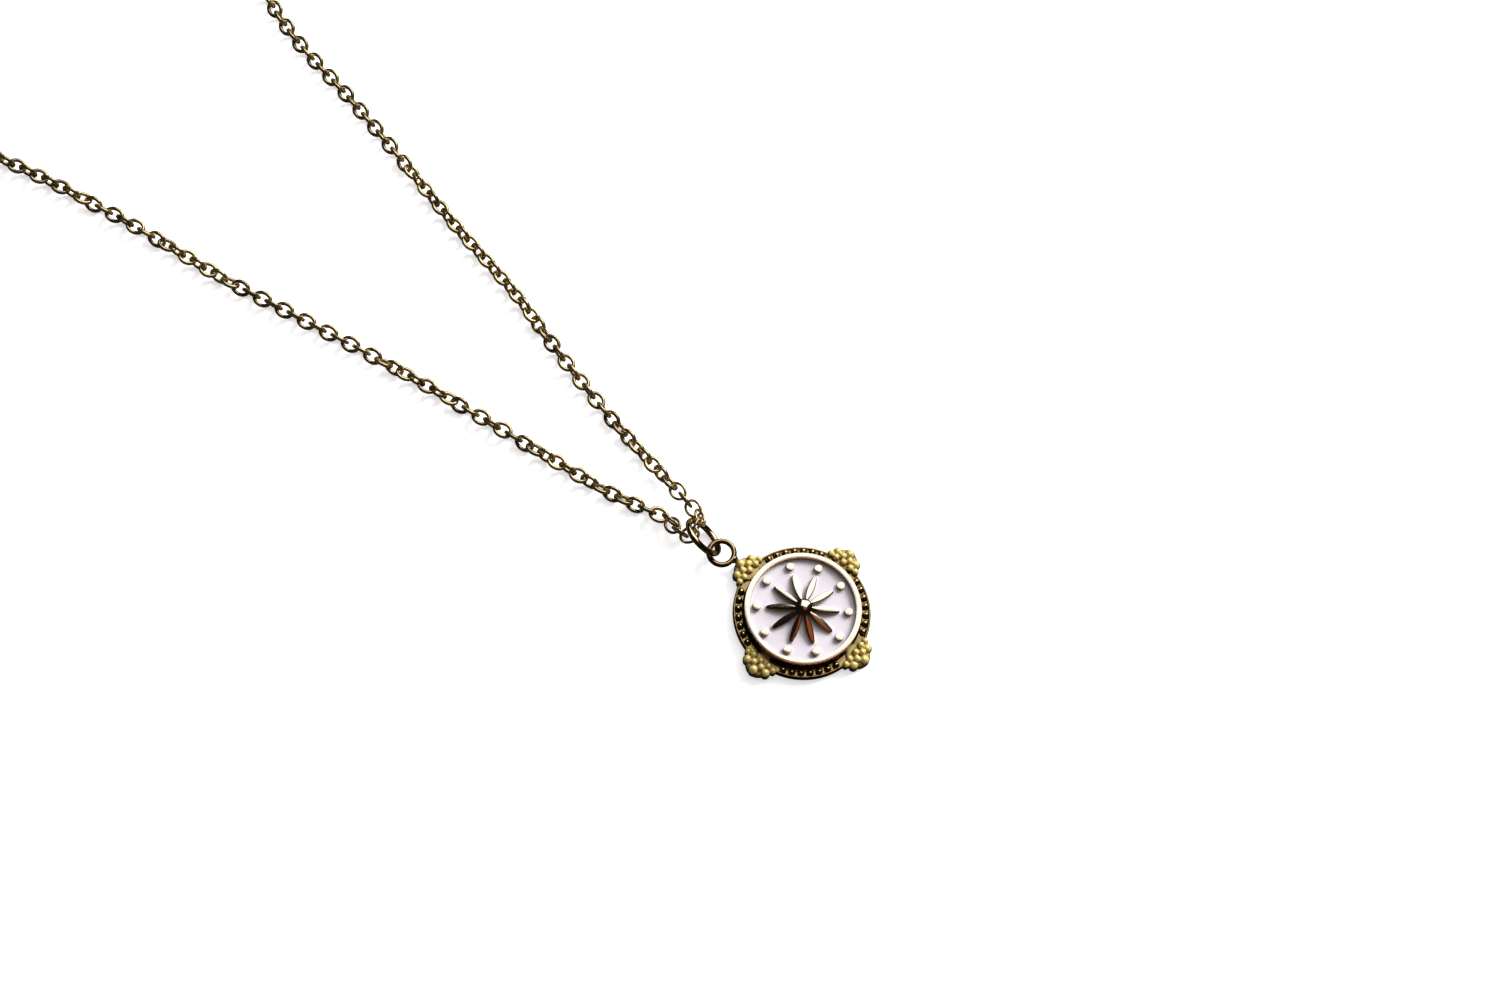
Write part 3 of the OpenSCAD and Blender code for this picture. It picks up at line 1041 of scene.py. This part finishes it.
@dataclass
class Chain(Assembly):
    """The cable chain, in real interlocking links all round the loop."""

    route: Route = field(default_factory=Route)
    link_l: float = 2.38
    link_w: float = 1.88
    wire: float = 0.44
    slim_wire: float = 0.32
    wire_square: float = 0.86
    edge_share: float = 0.3
    floor_gap: float = 0.03
    pitch: float = 1.43
    sway: float = 3
    cad_link_d: float = 2.06
    cad_wire: float = 0.23
    bend_slack: float = 0.05
    bend_reach: int = 4
    links_left: int = 63
    links_right: int = 58
    lift_near: int = 7
    lift_far: int = 13
    # A link's number from the bend and the chain's roll there
    roll_left: tuple[Row, ...] = (
        (1, -80), (3, -75), (5, -90), (7, -45), (10, -45), (12, -2), (14, -2), (17, -45),
        (19, -85), (21, -85), (25, -5), (27, -5), (30, -50), (32, -72), (42, -75), (46, -5),
        (49, -5), (53, -85), (55, -85), (59, -5), (65, -5), (71, -60), (85, -30), (101, -80),
        (121, -45), (161, -45),
    )
    roll_right: tuple[Row, ...] = (
        (0, -100), (1, -40), (3, -10), (5, -40), (7, -85), (9, -55), (12, -40), (14, -5),
        (19, -5), (23, -70), (38, -75), (41, -25), (59, -25), (73, -70), (89, -20), (109, -50),
        (159, -45),
    )
    seed: int = 7

    def __post_init__(self) -> None:
        """Lays the line."""
        self.points, self.lengths, self.bend_s = self.route.line()

    def spot(self, s: float) -> np.ndarray:
        """The point at a length along the line."""
        return np.array([np.interp(s, self.lengths, self.points[:, k]) for k in range(3)])

    def length_of(self, i: int) -> float:
        """The length at which link i lies, counted from the bend."""
        bunched = max(-self.bend_reach, min(self.bend_reach, i))
        return self.bend_s + i * self.pitch - self.bend_slack * bunched

    def place(self, i: int, s: float, step: float, sway: float) -> tuple[np.ndarray, Point]:
        """Finds where a link goes.

        Args:
            i: The link's number from the bend, negative on the left strand.
            s: Its length along the line.
            step: Length to its neighbours.
            sway: Degrees added to its roll.

        Returns:
            The matrix that turns it and its centre.
        """
        table = np.array(self.roll_left if i < 0 else self.roll_right, float)
        roll = float(np.interp(abs(i), table[:, 0], table[:, 1])) + (90 if i % 2 else 0) + sway
        less, lean = sorted(abs(v) for v in polar(1, roll)[:2])
        low = (self.link_w - self.wire) / 2 * lean + self.wire / 2 * (lean + less * self.edge_share)
        low += self.floor_gap
        high = max(low, (self.cad_link_d - self.cad_wire) / 2 * lean + self.cad_wire / 2)
        near = float(np.interp(abs(i), (self.lift_near, self.lift_far), (1, 0)))
        along = self.spot(s + step) - self.spot(s - step)
        along /= np.linalg.norm(along)
        heading, climb = math.atan2(along[1], along[0]), math.asin(along[2])
        turned_by = turn("Z", math.degrees(heading)) @ turn("Y", -math.degrees(climb)) @ turn("X", roll)
        x, y, z = self.spot(s)
        return turned_by, (x, y, z + low + (high - low) * near)

    def build(self) -> None:
        """Builds the stretch in front and the stretch at the back."""
        rng = np.random.default_rng(self.seed)
        fine, slim = (self.link(wire, segments=36, sides=16) for wire in (self.wire, self.slim_wire))
        plain = self.link(self.wire, segments=28, sides=12)
        front, back = Draft(), Draft()
        for i in range(-self.links_left, self.links_right + 1):
            sway = float(rng.uniform(-self.sway, self.sway)) if abs(i) > self.lift_near else 0.0
            place = self.place(i, self.length_of(i), self.pitch, sway)
            shape = fine if abs(i) > self.bend_reach else slim
            front.add(shape, *place, float(rng.uniform()))
        for i, s, step in self.back_places():
            place = self.place(i, s, step, float(rng.uniform(-self.sway, self.sway)))
            back.add(plain, *place, float(rng.uniform()))
        made = front.piece("chain_links_front", self.shop.chain, Slot.CHAIN)
        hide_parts("chain_front")
        made = back.piece("chain_links_back", self.shop.chain, Slot.CHAIN)
        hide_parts("chain_back")

    def link(self, wire: float, segments: int, sides: int) -> Shape:
        """One link of a wire's thickness about the origin, its length along X."""
        return wire_loop(self.link_l, self.link_w, wire, segments, sides, self.wire_square)

    def back_places(self) -> list[tuple[int, float, float]]:
        """Spreads links evenly from each end of the front stretch to the clasp.

        Returns:
            Each link's number, its length along the line and the length to its neighbours.
        """
        places = []
        for side, first, stop in ((-1, self.links_left, 0.0), (1, self.links_right, self.lengths[-1])):
            start = self.length_of(side * first)
            room = abs(stop - start)
            count = round(room / self.pitch)
            step = room / count
            places += [(side * (first + k), start + side * k * step, step) for k in range(1, count + 1)]
        return places


@dataclass
class Hardware(Assembly):
    """The jump ring, and the clasp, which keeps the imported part's own shape."""

    ring_d: float = 5.2
    ring_wire: float = 0.72
    ring_tilt: float = 52
    ring_turn: float = -18
    ring_at: Row = (-0.55, 13.56)

    def build(self) -> None:
        """Builds the ring and gives the clasp its finish."""
        loop = wire_loop(self.ring_d, self.ring_d, self.ring_wire, segments=128, sides=32)
        reach = (self.ring_d - self.ring_wire) / 2 * math.sin(math.radians(self.ring_tilt))
        ring = Draft()
        turned_by = turn("Z", self.ring_turn) @ turn("Y", self.ring_tilt)
        ring.add(loop, turned_by, (*self.ring_at, reach + self.ring_wire / 2))
        made = ring.piece("jump_ring_wire", self.shop.wire, Slot.WIRE)
        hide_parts("jump_ring")
        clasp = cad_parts["clasp"]
        clasp.data.materials.clear()
        clasp.data.materials.append(self.shop.clasp)
        log.info("clasp: the packed part's own shape")


# The studio


@dataclass
class Camera:
    """The camera, at the photograph's viewing angle."""

    azimuth: float = -63.453
    elevation: float = 68.17
    roll: float = 12.629
    target: Point = (6.961, 12.711, 0)
    distance: float = 279.455
    lens: float = 60
    sensor: float = 36
    clip: Row = (0.01, 20)

    def build(self) -> None:
        """Places the camera."""
        data = bpy.data.cameras.new("camera")
        data.lens, data.sensor_width = self.lens, self.sensor
        data.clip_start, data.clip_end = self.clip
        made = placed("camera", data)
        facing = turn("Z", self.azimuth) @ turn("X", 90 - self.elevation) @ turn("Z", self.roll)
        stand = (np.array(self.target) + facing[:, 2] * self.distance) * MM
        made.matrix_world = Matrix.Translation(stand) @ Matrix(facing).to_4x4()
        bpy.context.scene.camera = made


@dataclass(frozen=True)
class Softbox:
    """A rectangular lamp that faces the medallion, its distance and size in metres."""

    name: str
    toward: Point
    distance: float
    across: float
    along: float
    radiance: float
    colour: Colour = (1, 1, 1)
    mirrored: bool = True

    def build(self) -> None:
        """Hangs the lamp."""
        data = bpy.data.lights.new(self.name, "AREA")
        data.shape = "RECTANGLE"
        data.size, data.size_y = self.across, self.along
        data.energy = self.radiance * math.pi * self.across * self.along
        data.color = self.colour
        made = placed(self.name, data)
        back = Vector(self.toward).normalized()
        made.location = back * self.distance
        made.rotation_euler = (-back).to_track_quat("-Z", "Y").to_euler()
        made.visible_glossy = self.mirrored


@dataclass
class Studio:
    """A plain pale floor under soft light from a tall window, in a dark room, sized in metres."""

    floor_side: float = 2.0
    room: Colour = (0.006, 0.005, 0.004)
    haze: Colour = (1, 1, 1)
    paper: Colour = (0.93, 0.93, 0.93)
    # Painted reflection: the colour metal sees in the paper, darker than the paper
    paper_in_gold: Colour = (0.05, 0.034, 0.018)
    paper_glow: float = 0.6
    lamps: tuple[Softbox, ...] = (
        Softbox("window", (0.65, 0.225, 0.726), 1.5, 1.28, 1.54, radiance=1.35),
        Softbox("window_light", (0.88, -0.145, 0.454), 1.5, 0.75, 0.75, radiance=27.5, mirrored=False),
        Softbox("low_window", (0.88, 0.05, 0.46), 1.5, 0.6, 0.4, radiance=3.0),
        Softbox("overhead_light", (0.1, 0.0, 1.0), 2.0, 3.0, 3.0, radiance=0.4, mirrored=False),
        Softbox("amber_card", (0.17, -0.165, 0.971), 1.2, 0.6, 0.5, radiance=0.26, colour=(1, 0.25, 0.05)),
    )

    def build(self) -> None:
        """Lays the floor, hangs the lamps and sets the room's light."""
        half = self.floor_side / 2
        mesh = bpy.data.meshes.new("floor")
        corners = [(-half, -half, 0), (half, -half, 0), (half, half, 0), (-half, half, 0)]
        mesh.from_pydata(corners, [], [(0, 1, 2, 3)])
        mesh.materials.append(self.paper_material())
        floor = placed("floor", mesh)
        for lamp in self.lamps:
            lamp.build()
        self.light_room()
        bpy.context.scene.view_settings.view_transform = "Standard"

    def paper_material(self) -> Finish:
        """Makes white paper, bright as on a light table, whose reflection in metal is painted a dull warm
        grey.

        Returns:
            The paper's material.
        """
        made = Material("white paper", 0, roughness=0.9)
        seen = made.node("ShaderNodeLightPath").outputs
        # Painted reflection: glossy rays see the paper as dull warm grey, not white
        made.feed(made.shader, {
            "Base Color": made.blend(seen["Is Glossy Ray"], (*self.paper, 1), (*self.paper_in_gold, 1)),
            "Emission Color": (1, 1, 1, 1),
            "Emission Strength": made.maths("MULTIPLY", seen["Is Camera Ray"], self.paper_glow),
        })
        return made.data

    def light_room(self) -> None:
        """Makes the room dark for reflections and pale behind the object."""
        world = bpy.data.worlds.new("room")
        bpy.context.scene.world = world
        world.use_nodes = True
        air = Wiring(world.node_tree)
        dark, out = (air.tree.nodes[name] for name in ("Background", "World Output"))
        air.feed(dark.inputs, {"Color": (*self.room, 1)})
        pale = air.node("ShaderNodeBackground", {"Color": (*self.haze, 1)})
        seen = air.node("ShaderNodeLightPath").outputs["Is Camera Ray"]
        mixed = air.node("ShaderNodeMixShader", {0: seen, 1: dark.outputs[0], 2: pale.outputs[0]})
        air.feed(out.inputs, {"Surface": mixed.outputs[0]})


def main() -> None:
    """Builds the necklace and its studio."""
    logging.basicConfig(level=logging.INFO, format="%(name)s: %(message)s")
    Camera().build()
    shop = open_workshop()
    medallion = Medallion(shop)
    medallion.build()
    EnamelField(shop, medallion).build()
    Chain(shop).build()
    Hardware(shop).build()
    Studio().build()


if __name__ == "__main__":
    main()
